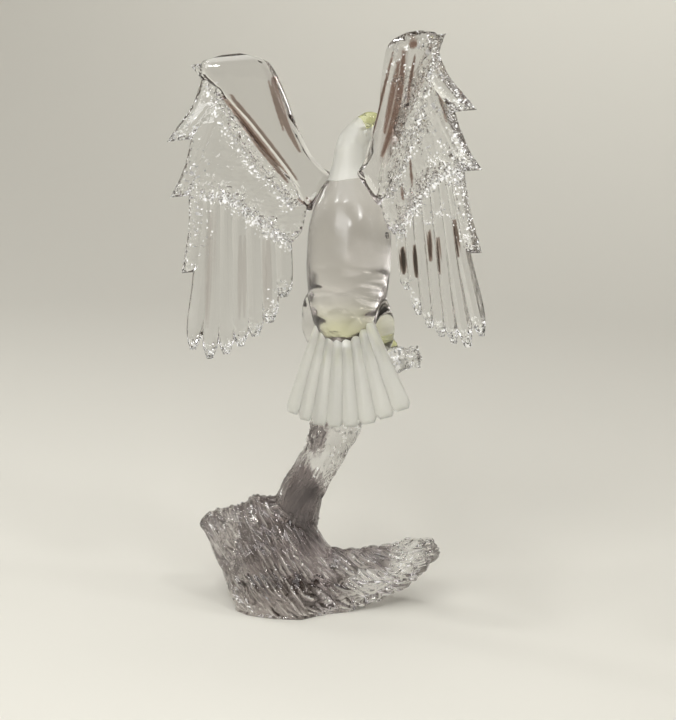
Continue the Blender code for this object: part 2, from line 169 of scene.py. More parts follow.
def ripple(points, size):
    # Smooth uneven waves from -1 to 1: scattered values on a lattice, blended between its corners
    p = np.asarray(points) / size
    base = np.floor(p)
    f = (p - base) ** 2 * (3 - 2 * (p - base))
    total = 0
    for corner in np.ndindex(2, 2, 2):
        total = total + np.prod(np.where(np.array(corner) == 1, f, 1 - f), -1) * scatter(base + corner, 0.5)
    return 2 * total - 1


def newObject(name, points, faces):
    mesh = bpy.data.meshes.new(name)
    mesh.from_pydata(points.tolist(), [], faces)
    obj = bpy.data.objects.new(name, mesh)
    bpy.context.collection.objects.link(obj)
    return obj


def ringQuads(count, sides):
    # Quads between closed rings whose points are numbered ring by ring
    i, j = np.meshgrid(np.arange(count - 1) * sides, np.arange(sides), indexing="ij")
    k = (j + 1) % sides
    return np.stack([i + j, i + k, i + sides + k, i + sides + j], -1).reshape(-1, 4)


def loft(name, rings, flatEnds=False):
    # Rings of equal length joined by quads. An end closes on its middle point, or for a blade,
    # whose ring runs along the back and returns along the front, straight across its thickness.
    count, sides = rings.shape[:2]
    quads = ringQuads(count, sides)
    points = rings.reshape(-1, 3)
    last = (count - 1) * sides
    if flatEnds:
        j = np.arange(1, sides // 2 - 1)
        strip = np.stack([j, j + 1, sides - j - 1, sides - j], -1)
        tips = np.array([[0, 1, sides - 1], [sides // 2 - 1, sides // 2, sides // 2 + 1]])
        caps = [strip[:, ::-1], strip + last, tips[:, ::-1], tips + last]
    else:
        points = np.concatenate([points, rings[[0, -1]].mean(1)])
        j = np.arange(sides)
        k = (j + 1) % sides
        caps = [np.stack([k, j, np.full(sides, last + sides)], -1),
                np.stack([last + j, last + k, np.full(sides, last + sides + 1)], -1)]
    a, b, c, d = (points[quads[:, n]] for n in range(4))
    volume = np.sum(a * np.cross(b, c)) + np.sum(a * np.cross(c, d))
    faces = quads.tolist() + [face for cap in caps for face in cap.tolist()]
    if volume < 0:
        faces = [face[::-1] for face in faces]
    return newObject(name, points, faces)


def bladeLoft(name, back, front):
    # Blade between its two faces, given as grids of points along and across it
    return loft(name, np.concatenate([back, front[:, -2:0:-1]], 1), flatEnds=True)


def applied(obj):
    # The object's modifiers worked into its mesh
    graph = bpy.context.evaluated_depsgraph_get()
    mesh = bpy.data.meshes.new_from_object(obj.evaluated_get(graph))
    obj.modifiers.clear()
    obj.data = mesh
    return obj


def joined(target, others, operation="UNION"):
    # One closed surface: glass inside glass would show every hidden face
    for other in others:
        mod = target.modifiers.new(other.name, "BOOLEAN")
        mod.operation = operation
        mod.solver = "MANIFOLD"
        mod.object = other
    applied(target)
    for other in others:
        bpy.data.objects.remove(other, do_unlink=True)
    return target


def softened(obj, voxel, rounds):
    # Even mesh over joined forms, smoothed so that they flow into each other
    remesh = obj.modifiers.new("even", "REMESH")
    remesh.mode = "VOXEL"
    remesh.voxel_size = voxel
    smooth = obj.modifiers.new("flow", "SMOOTH")
    smooth.factor = 0.5
    smooth.iterations = rounds
    return applied(obj)


def meshArrays(obj):
    # Vertices and vertex normals
    count = len(obj.data.vertices)
    points, normals = np.zeros(count * 3, np.float32), np.zeros(count * 3, np.float32)
    obj.data.vertices.foreach_get("co", points)
    obj.data.vertices.foreach_get("normal", normals)
    return points.reshape(-1, 3).astype(float), normals.reshape(-1, 3).astype(float)


def faceCentres(obj):
    centres = np.zeros(len(obj.data.polygons) * 3, np.float32)
    obj.data.polygons.foreach_get("center", centres)
    return centres.reshape(-1, 3)


def setPoints(obj, points):
    obj.data.vertices.foreach_set("co", np.ascontiguousarray(points, np.float32).ravel())
    obj.data.update()


def mark(obj, name, amount):
    # A value at each vertex, which the materials read by its name
    obj.data.attributes.new(name, "FLOAT", "POINT").data.foreach_set("value", amount.astype(np.float32))


def tube(name, path, wide, deep, yaw=0.0, sides=48, relief=None):
    # Ellipses carried along a path. wide lies sideways, turned by yaw about Z.
    along = np.gradient(path, axis=0)
    along /= np.linalg.norm(along, axis=1)[:, None]
    yaw = np.broadcast_to(yaw, len(path))
    side = np.stack([np.cos(yaw), np.sin(yaw), 0 * yaw], 1)
    side -= along * np.sum(side * along, 1)[:, None]
    side /= np.linalg.norm(side, axis=1)[:, None]
    deepward = np.cross(along, side)
    angle = np.arange(sides) * 2 * pi / sides
    wide, deep = (np.broadcast_to(v, len(path))[:, None, None] for v in (wide, deep))
    out = (wide * np.cos(angle)[None, :, None] * side[:, None]
           + deep * np.sin(angle)[None, :, None] * deepward[:, None])
    if relief is not None:
        share = np.linspace(0, 1, len(path))[:, None] + 0 * angle
        out = out * (1 + relief(share, 0 * share + angle))[..., None]
    return loft(name, path[:, None] + out)


def keptInside(obj, node):
    # Relief doesn't stand out of the solid's box
    low, high = (np.array(corner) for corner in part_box(node))
    setPoints(obj, np.clip(meshArrays(obj)[0], low, high))


# Sizes that the pieces share, as the solids have them

eagle = {
    "gap": 0.3 * mm,
    "foot": 89.01 * mm,            # lowest point of the rump
    "height": 61 * mm,             # from there to the nape
    "curve": 1.6 * mm,             # the rump lies this far to the left
    "bank": radians(8.6),          # the eagle leans over to its left
    "perch": 83.79 * mm,
    "perchRadius": 4.8 * mm,
}
eagle["bankLevel"] = eagle["foot"] + 0.835 * eagle["height"]


def banked(obj):
    pivot = Matrix.Translation((0, 0, eagle["bankLevel"]))
    obj.data.transform(pivot @ Matrix.Rotation(eagle["bank"], 4, "Y") @ pivot.inverted())
    return obj


def upright(points):
    # Points of the eagle before it is banked
    c, s = cos(eagle["bank"]), sin(eagle["bank"])
    x, z = points[:, 0], points[:, 2] - eagle["bankLevel"]
    return np.stack([x * c - z * s, points[:, 1], eagle["bankLevel"] + x * s + z * c], -1)


# Wings

wing = {
    "reach": 50 * mm,
    "height": 92 * mm,
    "foot": eagle["foot"] + 0.017 * eagle["height"],
    "rootY": -0.1 * eagle["height"],
    "sweep": 1.07,                 # backward slope at the middle of the back
    "camber": 0.415,               # part of that slope lost at the outer edge
    "lean": 0.10,
    "wrap": 7.5 * mm,              # how far the root bends back round the shoulder
    "arm": 3.1 * mm,               # half thicknesses
    "scallop": 2.4 * mm,
    "covert": 1.9 * mm,
    "flight": 1.3 * mm,
    "rim": 0.55 * mm,
    "flights": 7, "coverts": 6, "scallops": 9,
    "chip": 1.1 * mm,              # size of the cut facets that sparkle
    "chipSlope": 0.65,             # steepness of those cuts
    "speck": 0.5 * mm,             # size of the painted glints, white faces among the cuts, and the share of the cells that they take
    "specks": 0.32,
    "shaft": 0.25 * mm,            # how far a feather's shaft stands up
    "innerBevel": 2.9 * mm,        # widest part of the bevel along the leading edge
    "outerBevel": 1.2 * mm,
    "groove": 1.8 * mm,            # half width of the long lens-shaped cut along the plate's outer edge
    "grooveFloor": 0.9 * mm,       # half thickness left at its bottom
    "tipCut": 7 * mm,              # how far the chips reach in from a feather's tip and from its edges
    "edgeCut": 1.8 * mm,
    "uneven": 0.02 * mm,           # height of the waves that no cast surface is without
}
wingSize = np.array([wing["reach"], wing["height"]])


def wingPlan(obj, side):
    # Vertices of a banked wing, set upright again, and how far out and up they lie
    points = upright(meshArrays(obj)[0])
    return points, np.stack([side * points[:, 0], points[:, 2] - wing["foot"]], 1)


def wingPoints(w, z, offset):
    # The wing's middle surface is a parabola in plan, which bends back round the shoulder at its
    # root. A point stands off it along its normal.
    root = 0.18 * wing["reach"]
    wrap = wing["wrap"] * np.exp(-(w / root) ** 2)
    slope = wing["sweep"] - 2 * wing["camber"] * w / wing["reach"] - 2 * w / root ** 2 * wrap
    y = (wing["rootY"] + (wing["sweep"] - wing["camber"] * w / wing["reach"]) * w + wrap
         - wing["lean"] * (z - eagle["bankLevel"]))
    normal = np.stack([-slope, np.ones_like(w), np.full_like(w, wing["lean"])], -1)
    normal /= np.linalg.norm(normal, axis=-1)[..., None]
    return np.stack([w, y, z], -1) + normal * offset[..., None]


def blade(name, inner, outer, crown, rim, fullness=2.0, across=28, along=70, shaft=0.0, bevels=None,
          cutTip=0.0, cutEdge=0.0, cutAll=0.0):
    # A closed feather between two edges given as (out, up) shares of the wing. Its section is
    # rim + (crown - rim) * (1 - |t|^fullness), or flat between two bevels whose widths are given,
    # rounded off to nothing at both edges, with a raised shaft and with chips cut into its tip,
    # its edges or all over.
    steps = np.linalg.norm(np.diff((inner + outer) / 2 * wingSize, axis=0), axis=1)
    keys = np.concatenate([[0], np.cumsum(steps)])
    length = keys[-1]
    at = np.linspace(0, length, along)
    at = length * (at / length - 0.12 * np.sin(2 * pi * at / length) / (2 * pi))
    inner, outer = smoothColumns(keys, inner, at), smoothColumns(keys, outer, at)
    crown = smoothCurve(keys, np.broadcast_to(crown, len(keys)), at)[:, None]
    t = np.sin(np.linspace(-pi / 2, pi / 2, across))[None]
    toOuter = (t[..., None] + 1) / 2
    flat = inner[:, None] * (1 - toOuter) + outer[:, None] * toOuter
    w, z = flat[..., 0] * wingSize[0], wing["foot"] + flat[..., 1] * wingSize[1]
    toEnd = np.minimum(at, length - at)[:, None]
    close = rounded(toEnd / (1.1 * crown), 0.02)
    halfWide = np.linalg.norm((outer - inner) * wingSize, axis=1)[:, None] / 2
    swell = 1 - np.abs(t) ** fullness
    if bevels is not None:
        innerBevel, outerBevel = (width[:, None] for width in bevels(at / length))
        swell = ((1 - (1 - np.clip((1 + t) * halfWide / innerBevel, 0, 1)) ** 1.1)
                 * (1 - (1 - np.clip((1 - t) * halfWide / outerBevel, 0, 1)) ** 1.1))
    offset = (rim + (crown - rim) * swell) * np.sqrt(1 - np.abs(t) ** 16) * close
    toTip, toEdge = (length - at)[:, None], (1 - np.abs(t)) * halfWide
    cut = cutTip * ease(1 - toTip / wing["tipCut"]) + cutEdge * ease(1 - toEdge / wing["edgeCut"]) + cutAll
    faces = []
    for sign in (1, -1):
        points = wingPoints(w, z, sign * offset)
        rise = shaft * np.exp(-(t / 0.16) ** 2) * close
        if cutTip or cutEdge or cutAll:
            facet = facets(points + sign * 0.013, wing["chip"])
            rise = rise + np.clip(cut, 0, 1) * wing["chipSlope"] * wing["chip"] * (facet - 0.35)
        rise = rise + wing["uneven"] * ripple(points, 4 * mm)
        top = offset + np.minimum(rise, crown * 0.2 * close)
        faces.append(wingPoints(w, z, sign * np.maximum(top, 0.25 * offset)))
    return bladeLoft(name, *faces)


def rows(up, inner, outer):
    # Edges of a feather that is cut into level rows
    up, inner, outer = (np.asarray(a, float) for a in (up, inner, outer))
    return np.stack([inner, up], 1), np.stack([outer, up], 1)


def armPlate():
    # Smooth leading plate, which widens from the shoulder to a round top
    up = [0.455, 0.48, 0.53, 0.56, 0.59, 0.64, 0.76, 0.88, 0.955, 0.985, 1.0]
    inner = [0.205, 0.165, 0.098, 0.076, 0.132, 0.203, 0.28, 0.337, 0.39, 0.46, 0.54]
    outer = [0.25, 0.284, 0.32, 0.344, 0.372, 0.42, 0.56, 0.68, 0.765, 0.75, 0.64]
    crown = wing["arm"] * np.array([0.6, 0.9, 1, 1, 1, 1, 1, 1, 0.95, 0.75, 0.35])

    def bevels(v):
        # The leading bevel is long and thin over the back, narrow at the shoulder and wide further up
        inner = smoothCurve([0, 0.12, 0.24, 0.42, 0.62, 0.85, 1], [1.6, 1.6, 0.5, 0.5, 1.0, 0.9, 0.5], v)
        return wing["innerBevel"] * inner, wing["outerBevel"] + 0 * v

    return blade("arm", *rows(up, inner, outer), crown, wing["rim"], across=64, along=110, bevels=bevels)


def lensGroove(sign):
    # A cutter for one face: V in section, deepest along its middle line, tapering out at both ends
    v = np.linspace(0, 1, 60)
    stops = [[0.29, 0.535], [0.46, 0.674], [0.555, 0.764], [0.63, 0.834], [0.70, 0.915]]
    line = smoothColumns([0, 0.34, 0.56, 0.78, 1], stops, v) * wingSize
    along = np.gradient(line, axis=0)
    along /= np.linalg.norm(along, axis=1)[:, None]
    size = np.sin(pi * (0.02 + 0.96 * v)) ** 0.8
    t = np.linspace(-1, 1, 13)
    flat = (line[:, None] + wing["groove"] * size[:, None, None] * t[None, :, None]
            * np.stack([along[:, 1], -along[:, 0]], 1)[:, None])
    w, z = flat[..., 0], wing["foot"] + flat[..., 1]
    deep = (wing["arm"] - wing["grooveFloor"]) * size[:, None]
    low = wingPoints(w, z, sign * (wing["arm"] - deep * (1 - np.abs(t))))
    high = wingPoints(w, z, sign * (wing["arm"] + 1 * mm + 0 * w))
    return loft(f"groove{sign}", np.concatenate([low, high[:, ::-1]], 1), flatEnds=True)


def edgeFeathers():
    # Horn at the top and three feathers whose cut tips step down the edge
    rim = 1.3 * wing["rim"]
    horn = rows([0.90, 0.93, 0.955, 0.978], [0.60, 0.62, 0.62, 0.64], [0.74, 0.765, 0.79, 0.82])
    top = rows([0.95, 0.85, 0.785, 0.735], [0.56, 0.64, 0.735, 0.84], [0.745, 0.82, 0.915, 0.99])
    middle = rows([0.80, 0.69, 0.61, 0.55], [0.58, 0.71, 0.80, 0.875], [0.82, 0.87, 0.93, 1.0])
    low = rows([0.60, 0.47, 0.37, 0.295], [0.76, 0.787, 0.817, 0.84], [0.88, 0.895, 0.93, 0.965])
    look = {"cutTip": 1, "cutEdge": 0.8, "shaft": wing["shaft"]}
    return [blade("horn", *horn, wing["covert"], rim, **look),
            blade("edgeTop", *top, wing["covert"], rim, **look),
            blade("edgeMiddle", *middle, 0.95 * wing["covert"], rim, **look),
            blade("edgeLow", *low, 1.15 * wing["flight"], rim, **look)]


def flightTips(share):
    return np.stack([0.905 - 0.50 * share,
                     smoothCurve([0, 0.17, 0.5, 0.83, 1], [0.036, 0.0, 0.03, 0.095, 0.175], share)], -1)


def covertTips(share):
    return np.stack([smoothCurve([0, 0.45, 1], [0.87, 0.62, 0.34], share),
                     smoothCurve([0, 0.3, 0.6, 1], [0.545, 0.53, 0.45, 0.335], share)], -1)


def scallopTips(share):
    return np.stack([smoothCurve([0, 0.35, 1], [0.745, 0.61, 0.345], share),
                     smoothCurve([0, 0.35, 1], [0.90, 0.71, 0.47], share)], -1)


def flightFeather(i):
    # Long feather number i, counted from the outermost inwards
    share = np.float64(i / (wing["flights"] - 1))
    tipOut, tipUp = flightTips(share)
    fan = smoothCurve([0, 0.3, 1], [0.24, 0.12, 0.05], share)
    bend = 0.10 * max(0, 1 - 3 * share)
    up = tipUp + np.array([1.0, 0.42, 0.09, 0.0]) * (0.58 - tipUp)
    centre = tipOut - fan * (up - tipUp) + bend * np.clip(0.25 - (up - tipUp), 0, 1)
    width = 0.364 / wing["flights"] * np.array([0.85, 1, 0.9, 0.35])
    crown = wing["flight"] * np.array([1, 1, 0.95, 0.7])
    return blade(f"flight{i}", *rows(up, centre - width, centre + width), crown, 0.6 * wing["rim"],
                 fullness=2.2, across=32, along=110, shaft=wing["shaft"], cutTip=1, cutEdge=0.1)


def shortFeather(name, root, tip, half, crown, fullness, cutAll):
    # Covert with a blunt tip. half is its half width.
    along = (tip - root) * wingSize
    along /= np.linalg.norm(along)
    cross = np.array([along[1], -along[0]]) * -half / wingSize
    centre = root + (tip - root) * np.array([0, 0.75, 1.0])[:, None]
    width = np.array([1, 1, 0.5])[:, None]
    return blade(name, centre - cross * width, centre + cross * width, crown, 0.8 * crown, fullness,
                 across=26, along=54, shaft=0.4 * wing["shaft"], cutTip=1, cutEdge=0.6, cutAll=cutAll)


def coverts():
    # Two rows of short feathers, first the lower one, then the one along the arm plate
    leaves = []
    for i in range(wing["coverts"]):
        share = np.float64((i + 0.5) / wing["coverts"])
        root = np.array([0.66 - 0.38 * share, 0.88 - 0.38 * share])
        half = 0.5 * wing["reach"] / wing["coverts"]
        leaves.append(shortFeather(f"covert{i}", root, covertTips(share), half, wing["covert"], 3.0, 0.25))
    for i in range(wing["scallops"]):
        tip = scallopTips(np.float64((i + 0.5) / wing["scallops"]))
        root = tip + np.array([-0.17, 0.055])
        half = 0.62 * wing["reach"] / wing["scallops"]
        leaves.append(shortFeather(f"scallop{i}", root, tip, half, wing["scallop"], 6.0, 0.0))
    return leaves


def markSparkle(obj, side):
    # How densely each point is cut with tiny facets, which also sets how many painted glints it gets: bands
    # along the three rows of feather tips
    points, flat = wingPlan(obj, side)
    out, up = flat[:, 0] / wingSize[0], flat[:, 1] / wingSize[1]
    amount = 0
    for tips, width, most in ((scallopTips, 0.9, 1.0), (covertTips, 1.6, 1.0), (flightTips, 2.2, 0.9)):
        line = tips(np.linspace(0, 1, 60)) * wingSize
        away = np.concatenate([np.linalg.norm(part[:, None] - line, axis=2).min(1)
                               for part in np.array_split(flat, 20)])
        amount = np.maximum(amount, most * np.exp(-(away / (width * mm)) ** 2))
    outer = ease((out - 0.72) / 0.2) * ease((up - 0.3) / 0.1)
    amount = np.maximum(amount, 0.3 * outer) * (0.75 + 0.5 * ripple(points, 2.5 * mm))
    if side < 0:
        # The right wing's coverts are cut all over, in patches
        upper = ease((up - 0.36) / 0.08) * ease((out - 0.35) / 0.1)
        amount = np.maximum(amount, 0.55 * upper * ease(1.6 * ripple(points, 3 * mm)))
    mark(obj, "sparkle", np.clip(amount, 0, 1))


def paintedGlintFaces(obj, size, share):
    # 1 for the painted glints, white faces that stand in for sparkle: scattered cells, more of them where the
    # sparkle mark is higher
    amount = np.zeros(len(obj.data.vertices), np.float32)
    obj.data.attributes["sparkle"].data.foreach_get("value", amount)
    first = np.zeros(len(obj.data.polygons), np.int32)
    obj.data.polygons.foreach_get("loop_start", first)
    corner = np.zeros(len(obj.data.loops), np.int32)
    obj.data.loops.foreach_get("vertex_index", corner)
    cell = np.floor(faceCentres(obj) / size)
    return (scatter(cell, 8.0) < share * amount[corner[first]]).astype(np.int32)


# Painted shade in the crystal of each wing: dark brown bars that stand in for the shade of its bends and
# edges. Every kind has a half width in mm, a strength, how far its veins bow outwards in mm, and its veins,
# each from its upper to its lower end, (out, up) in mm.
paintedShadeVeins = {
    1: [(0.8, 0.85, 0, [((32, 80), (16, 51))]),
        (0.8, 0.8, 1, [((18, 84), (12, 60))]),
        (0.4, 0.85, 0, [((19, 83), (16, 67)), ((14, 46), (11, 43))]),
        (0.7, 0.18, 0, [((38, 46), (42, 9)), ((30, 37), (32, 11)), ((24, 35), (25, 12))])],
    -1: [(1.3, 0.65, 2, [((27, 87), (15, 56))]),
         (1.1, 0.6, 0, [((25, 84), (17, 63)), ((29, 88), (32, 88))]),
         (3.2, 0.12, 1, [((27, 88), (15, 54))]),
         (0.5, 0.8, 0, [((23, 87), (12, 63)), ((31, 85), (26, 70))]),
         (0.9, 1.0, 0, [((20, 29), (20, 21)), ((25, 30), (25, 20))]),
         (0.5, 0.95, 0, [((31, 34), (31, 25)), ((34, 32), (34, 21)), ((40, 37), (41, 26))]),
         (0.4, 0.8, 0, [((38, 73), (40, 65)), ((41, 81), (47, 69)), ((47, 59), (48, 54)),
                        ((26, 55), (26, 47)), ((22, 47), (22, 43))])],
}


def paintWingShade(obj, side):
    # Each bar of painted shade is a shallow arc that swells in its middle, and its edges fade over 0.3 mm
    flat = wingPlan(obj, side)[1] / mm
    amount = np.zeros(len(flat))
    v = np.linspace(0, 1, 50)
    kinds = paintedShadeVeins[side]
    for half, strength, bow, top, foot in ((*kind, *ends) for *kind, veins in kinds for ends in veins):
        top, foot = np.array(top, float), np.array(foot, float)
        outward = np.array([top[1] - foot[1], foot[0] - top[0]]) / np.linalg.norm(top - foot)
        line = top + v[:, None] * (foot - top) + 4 * bow * (v * (1 - v))[:, None] * outward
        near = np.flatnonzero((np.abs(flat - line.mean(0)) < np.ptp(line, axis=0) / 2 + half + 1.5).all(1))
        away = np.linalg.norm(flat[near][:, None] - line, axis=2)
        at = away.argmin(1)
        swell = half * (0.35 + 0.65 * np.sin(pi * v[at]) ** 0.7)
        inside = ease((swell + 0.15 - away[np.arange(len(near)), at]) / 0.3) * ((at > 0) & (at < 49))
        amount[near] = np.maximum(amount[near], strength * inside)
    mark(obj, "paintedShade", amount)


def makeWing(side, name):
    flights = [flightFeather(i) for i in range(wing["flights"])]
    obj = joined(armPlate(), edgeFeathers() + flights + coverts())
    joined(obj, [lensGroove(1), lensGroove(-1)], "DIFFERENCE")
    if side < 0:
        obj.data.transform(Matrix.Scale(-1, 4, (1, 0, 0)))
        obj.data.flip_normals()
    joined(obj, bodyForms(eagle["gap"]), "DIFFERENCE")
    obj.name = name
    banked(obj)
    markSparkle(obj, side)
    paintWingShade(obj, side)
    return obj


# Body

body = {
    "halfWidth": 13.3 * mm,
    "halfDepth": 13.0 * mm,
    "thigh": 5.9 * mm,
    "footSpread": 6.4 * mm,
    "toe": 1.35 * mm,
    "headTurn": radians(38),       # it looks to its right
    "headLength": 17.5 * mm,
    "headHalfWidth": 5.6 * mm,
    "nape": -0.03 * eagle["height"],   # where the head's turn starts, front to back
    "bossTurn": radians(172),      # where the bosses sit round the torso, and how high, with their radii
    "bosses": [(0.69, 1.5 * mm), (0.545, 1.1 * mm)],
    "frostedFrom": 0.845,          # share of the height from which the neck is frosted
    "brow": 0.25,                  # the dye starts this far ahead and up at the brow, in head lengths,
    "browUp": 0.29,
    "beak": 0.53,                  # and covers all that is further ahead than this
    "voxel": 0.42 * mm,
    "flow": 10,                    # rounds of smoothing where the forms meet
}
tail = {
    "length": 30 * mm, "count": 8, "spread": radians(41), "centre": 24 * mm, "half": 1.5 * mm,
    "tilt": radians(18), "hollow": 0.3,
    "level": eagle["foot"] + 0.10 * eagle["height"],
    "rootY": 0.285 * eagle["height"],
    "barb": 1.5 * mm,              # pitch of the slanting lines, and how far they stand up
    "barbHeight": 0.035 * mm,
    "shaft": 0.1 * mm,
}


def torso(grow):
    keys = np.array([0.0, 0.05, 0.14, 0.27, 0.42, 0.56, 0.67, 0.76, 0.84, 0.92, 1.0])
    at = np.linspace(0, 1, 90)
    wide = smoothCurve(keys, [0.30, 0.60, 0.82, 0.94, 1.0, 0.98, 0.88, 0.72, 0.54, 0.40, 0.335], at)
    deep = smoothCurve(keys, [0.26, 0.56, 0.74, 0.88, 0.98, 1.0, 0.92, 0.76, 0.58, 0.44, 0.34], at)
    y = smoothCurve([0, 0.26, 0.51, 0.75, 0.84, 1.0], [0.246, 0.177, 0.098, 0.025, 0.003, -0.033], at)
    up = eagle["foot"] + at * eagle["height"]
    path = np.stack([eagle["curve"] * (1 - at) ** 2, y * eagle["height"], up], 1)
    return tube("torso", path, wide * body["halfWidth"] + grow, deep * body["halfDepth"] + grow, sides=72)


def head(grow):
    # Skull and hooked beak turn forward and to the right
    keys, at = np.arange(11), np.linspace(0, 10, 70)
    ahead = smoothCurve(keys, [-0.02, 0.05, 0.125, 0.21, 0.29, 0.35, 0.415, 0.50, 0.59, 0.68, 0.73], at)
    rise = smoothCurve(keys, [-0.23, -0.06, 0.08, 0.20, 0.30, 0.37, 0.415, 0.45, 0.455, 0.39, 0.30], at)
    ahead, rise = ahead * body["headLength"], rise * body["headLength"]
    wide = smoothCurve(keys, [0.82, 0.88, 0.88, 0.83, 0.71, 0.53, 0.43, 0.375, 0.29, 0.18, 0.06], at)
    deep = smoothCurve(keys, [0.86, 0.88, 0.84, 0.77, 0.68, 0.56, 0.48, 0.44, 0.36, 0.23, 0.07], at)
    yaw = -body["headTurn"] * np.clip(5 * ahead / body["headLength"], 0, 1)
    path = np.stack([ahead * np.sin(yaw), body["nape"] - ahead * np.cos(yaw),
                     eagle["foot"] + eagle["height"] + rise], 1)
    return tube("head", path, wide * body["headHalfWidth"] + grow, deep * body["headHalfWidth"] + grow, yaw)


def thigh(side, grow):
    keys, at = np.arange(5), np.linspace(0, 4, 40)
    out = smoothCurve(keys, [0.50, 0.63, 0.69, 0.66, 0.52], at) * body["halfWidth"]
    y = smoothCurve(keys, [0.19, 0.18, 0.16, 0.13, 0.10], at) * eagle["height"]
    up = smoothCurve(keys, [0.30, 0.22, 0.11, 0.02, -0.03], at) * eagle["height"]
    radius = body["thigh"] * smoothCurve(keys, [0.55, 0.88, 1.0, 0.84, 0.5], at) + grow
    path = np.stack([1.4 * eagle["curve"] + side * out, y, eagle["foot"] + up], 1)
    return tube("thigh", path, radius, radius, sides=40)


def bodyForms(grow=0.0):
    return [torso(grow), head(grow)] + [thigh(side, grow) for side in (1, -1)]


def foot(side):
    # Short shank, three toes over the front of the branch and one behind
    ring = eagle["perchRadius"] + 0.45 * body["toe"]
    x, y = side * body["footSpread"], 0.066 * eagle["height"]
    keys, at = np.arange(5), np.linspace(0, 4, 26)
    parts = []
    for spread, reach in ((-0.55, -1), (0.0, -1), (0.55, -1), (0.0, 1)):
        angle = radians(90) * smoothCurve(keys, [-0.12, 0.2, 0.55, 0.9, 1.2], at)
        sway = spread * 0.8 * ring * np.sin(np.clip(angle, 0, 2))
        path = np.stack([x + sway, y + reach * ring * np.sin(angle),
                         eagle["perch"] + ring * np.cos(angle)], 1)
        radius = body["toe"] * smoothCurve(keys, [1.0, 1.15, 1.0, 0.8, 0.3], at)
        # Shallow rings round the toe, as in scaly skin
        radius = radius * (1 - 0.07 * np.cos(2 * pi * at / 0.5) * ease((3.2 - at) / 0.6))
        parts.append(tube("toe", path, radius, radius, sides=18))
    rise = smoothCurve([0, 1, 2], [2.2, 0.4, -0.6], np.linspace(0, 2, 12)) * body["toe"]
    path = np.stack([np.full(12, x), y + 0.25 * rise, eagle["perch"] + ring + rise], 1)
    radius = body["toe"] * smoothCurve([0, 1, 2], [1.7, 1.5, 1.6], np.linspace(0, 2, 12))
    return parts + [tube("shank", path, radius, radius, sides=24)]


def finished(obj, index):
    # Faces marked with the finish they get, which they keep when pieces are joined
    obj.data.polygons.foreach_set("material_index", np.full(len(obj.data.polygons), index, np.int32))
    return obj


def tailFeather(i):
    # One feather of the fan with a raised shaft, slanting barbs, a rounded tip and thinner edges
    share = i / (tail["count"] - 1) * 2 - 1
    angle = share * tail["spread"] / 2
    length = tail["length"] * (1 - 0.06 * share * share)
    keys, at = [0, 0.5, 0.92, 1.0], 1 - (1 - np.linspace(0, 1, 64)) ** 1.25
    radius = (tail["centre"] + at * length)[:, None]
    half = 0.64 * radius[:, 0] * tail["spread"] / tail["count"] * smoothCurve(keys, [1, 1, 0.96, 0.6], at)
    thick = tail["half"] * smoothCurve(keys, [1.5, 1.2, 0.85, 0.6], at)
    t = np.sin(np.linspace(-pi / 2, pi / 2, 22))[None]
    half, thick = half[:, None], thick[:, None]
    across = radius * sin(angle) + t * half * cos(angle)
    down = radius * cos(angle) - t * half * sin(angle) - tail["centre"]
    toTip = ((1 - at) * length)[:, None]
    close = rounded(toTip / (1.2 * mm), 0.03)
    offset = thick * (1 - 0.5 * t * t) * np.sqrt(1 - np.abs(t) ** 14) * close
    slant = np.sin(2 * pi * (toTip / tail["barb"] - np.abs(t) * 1.3))
    rise = tail["barbHeight"] * slant * (1 - np.abs(t) ** 3) + tail["shaft"] * np.exp(-(t / 0.14) ** 2)
    offset = offset + (rise - tail["shaft"]) * close
    fold = -tail["hollow"] * across ** 2 / tail["length"]
    faces = []
    for sign in (1, -1):
        back = sign * np.maximum(offset, 0.04 * mm * (np.abs(t) < 0.999)) + fold
        faces.append(np.stack([across + 0.6 * eagle["curve"],
                               tail["rootY"] + down * sin(tail["tilt"]) + back * cos(tail["tilt"]),
                               tail["level"] - down * cos(tail["tilt"]) + back * sin(tail["tilt"])], -1))
    return bladeLoft(f"tail{i}", *faces)


# Lines of the face, (ahead, up) in shares of the head's length. The eye is so short that it is round.
faceLines = {
    "eye": [(0.25, 0.22), (0.251, 0.221)],
    "brow": [(0.13, 0.31), (0.25, 0.335), (0.38, 0.31)],
    "mouth": [(0.26, 0.18), (0.40, 0.29), (0.56, 0.37), (0.68, 0.34)],
    "nostril": [(0.45, 0.46), (0.47, 0.465)],
}


def carveFace(obj):
    # Eyes under brow ridges, a mouth line and nostrils, as relief along the surface normals
    points, normals = meshArrays(obj)
    turn, size = body["headTurn"], body["headLength"]
    ahead, side = np.array([-sin(turn), -cos(turn), 0]), np.array([cos(turn), -sin(turn), 0])
    local = points - np.array([0, body["nape"], eagle["foot"] + eagle["height"]])
    spot = np.stack([local @ ahead, np.abs(local @ side), local[:, 2]], -1) / size
    rise = np.zeros(len(points))

    def away(name):
        # Distance in mm to a line of the face, seen from the side of the head
        stops = faceLines[name]
        line = smoothColumns(np.linspace(0, 1, len(stops)), stops, np.linspace(0, 1, 40))
        return np.linalg.norm(spot[:, None, [0, 2]] - line, axis=2).min(1) * size / mm

    beside = ease((spot[:, 1] - 0.03) / 0.05) * (spot[:, 0] > 0.05)
    eye = away("eye")
    rise += beside * (-0.55 * np.exp(-(eye / 1.5) ** 2) + 0.85 * np.sqrt(np.clip(1 - (eye / 0.9) ** 2, 0, 1)))
    rise += beside * 0.45 * np.exp(-(away("brow") / 0.5) ** 2)
    rise -= beside * 0.3 * np.exp(-(away("mouth") / 0.32) ** 2)
    rise -= beside * 0.3 * np.exp(-(away("nostril") / 0.35) ** 2)
    # Thighs and belly in front: an uneven net of shallow cuts
    y, z = points[:, 1] / mm, (points[:, 2] - eagle["foot"]) / mm
    front = ease((8 - y) / 4) * ease((26 - z) / 7) * ease((z + 3) / 3)
    rise -= 0.3 * front * np.clip(1 - 2.4 * chips(points, 5.5 * mm)[1], 0, 1)
    setPoints(obj, points + normals * (rise * mm)[:, None])
    return obj


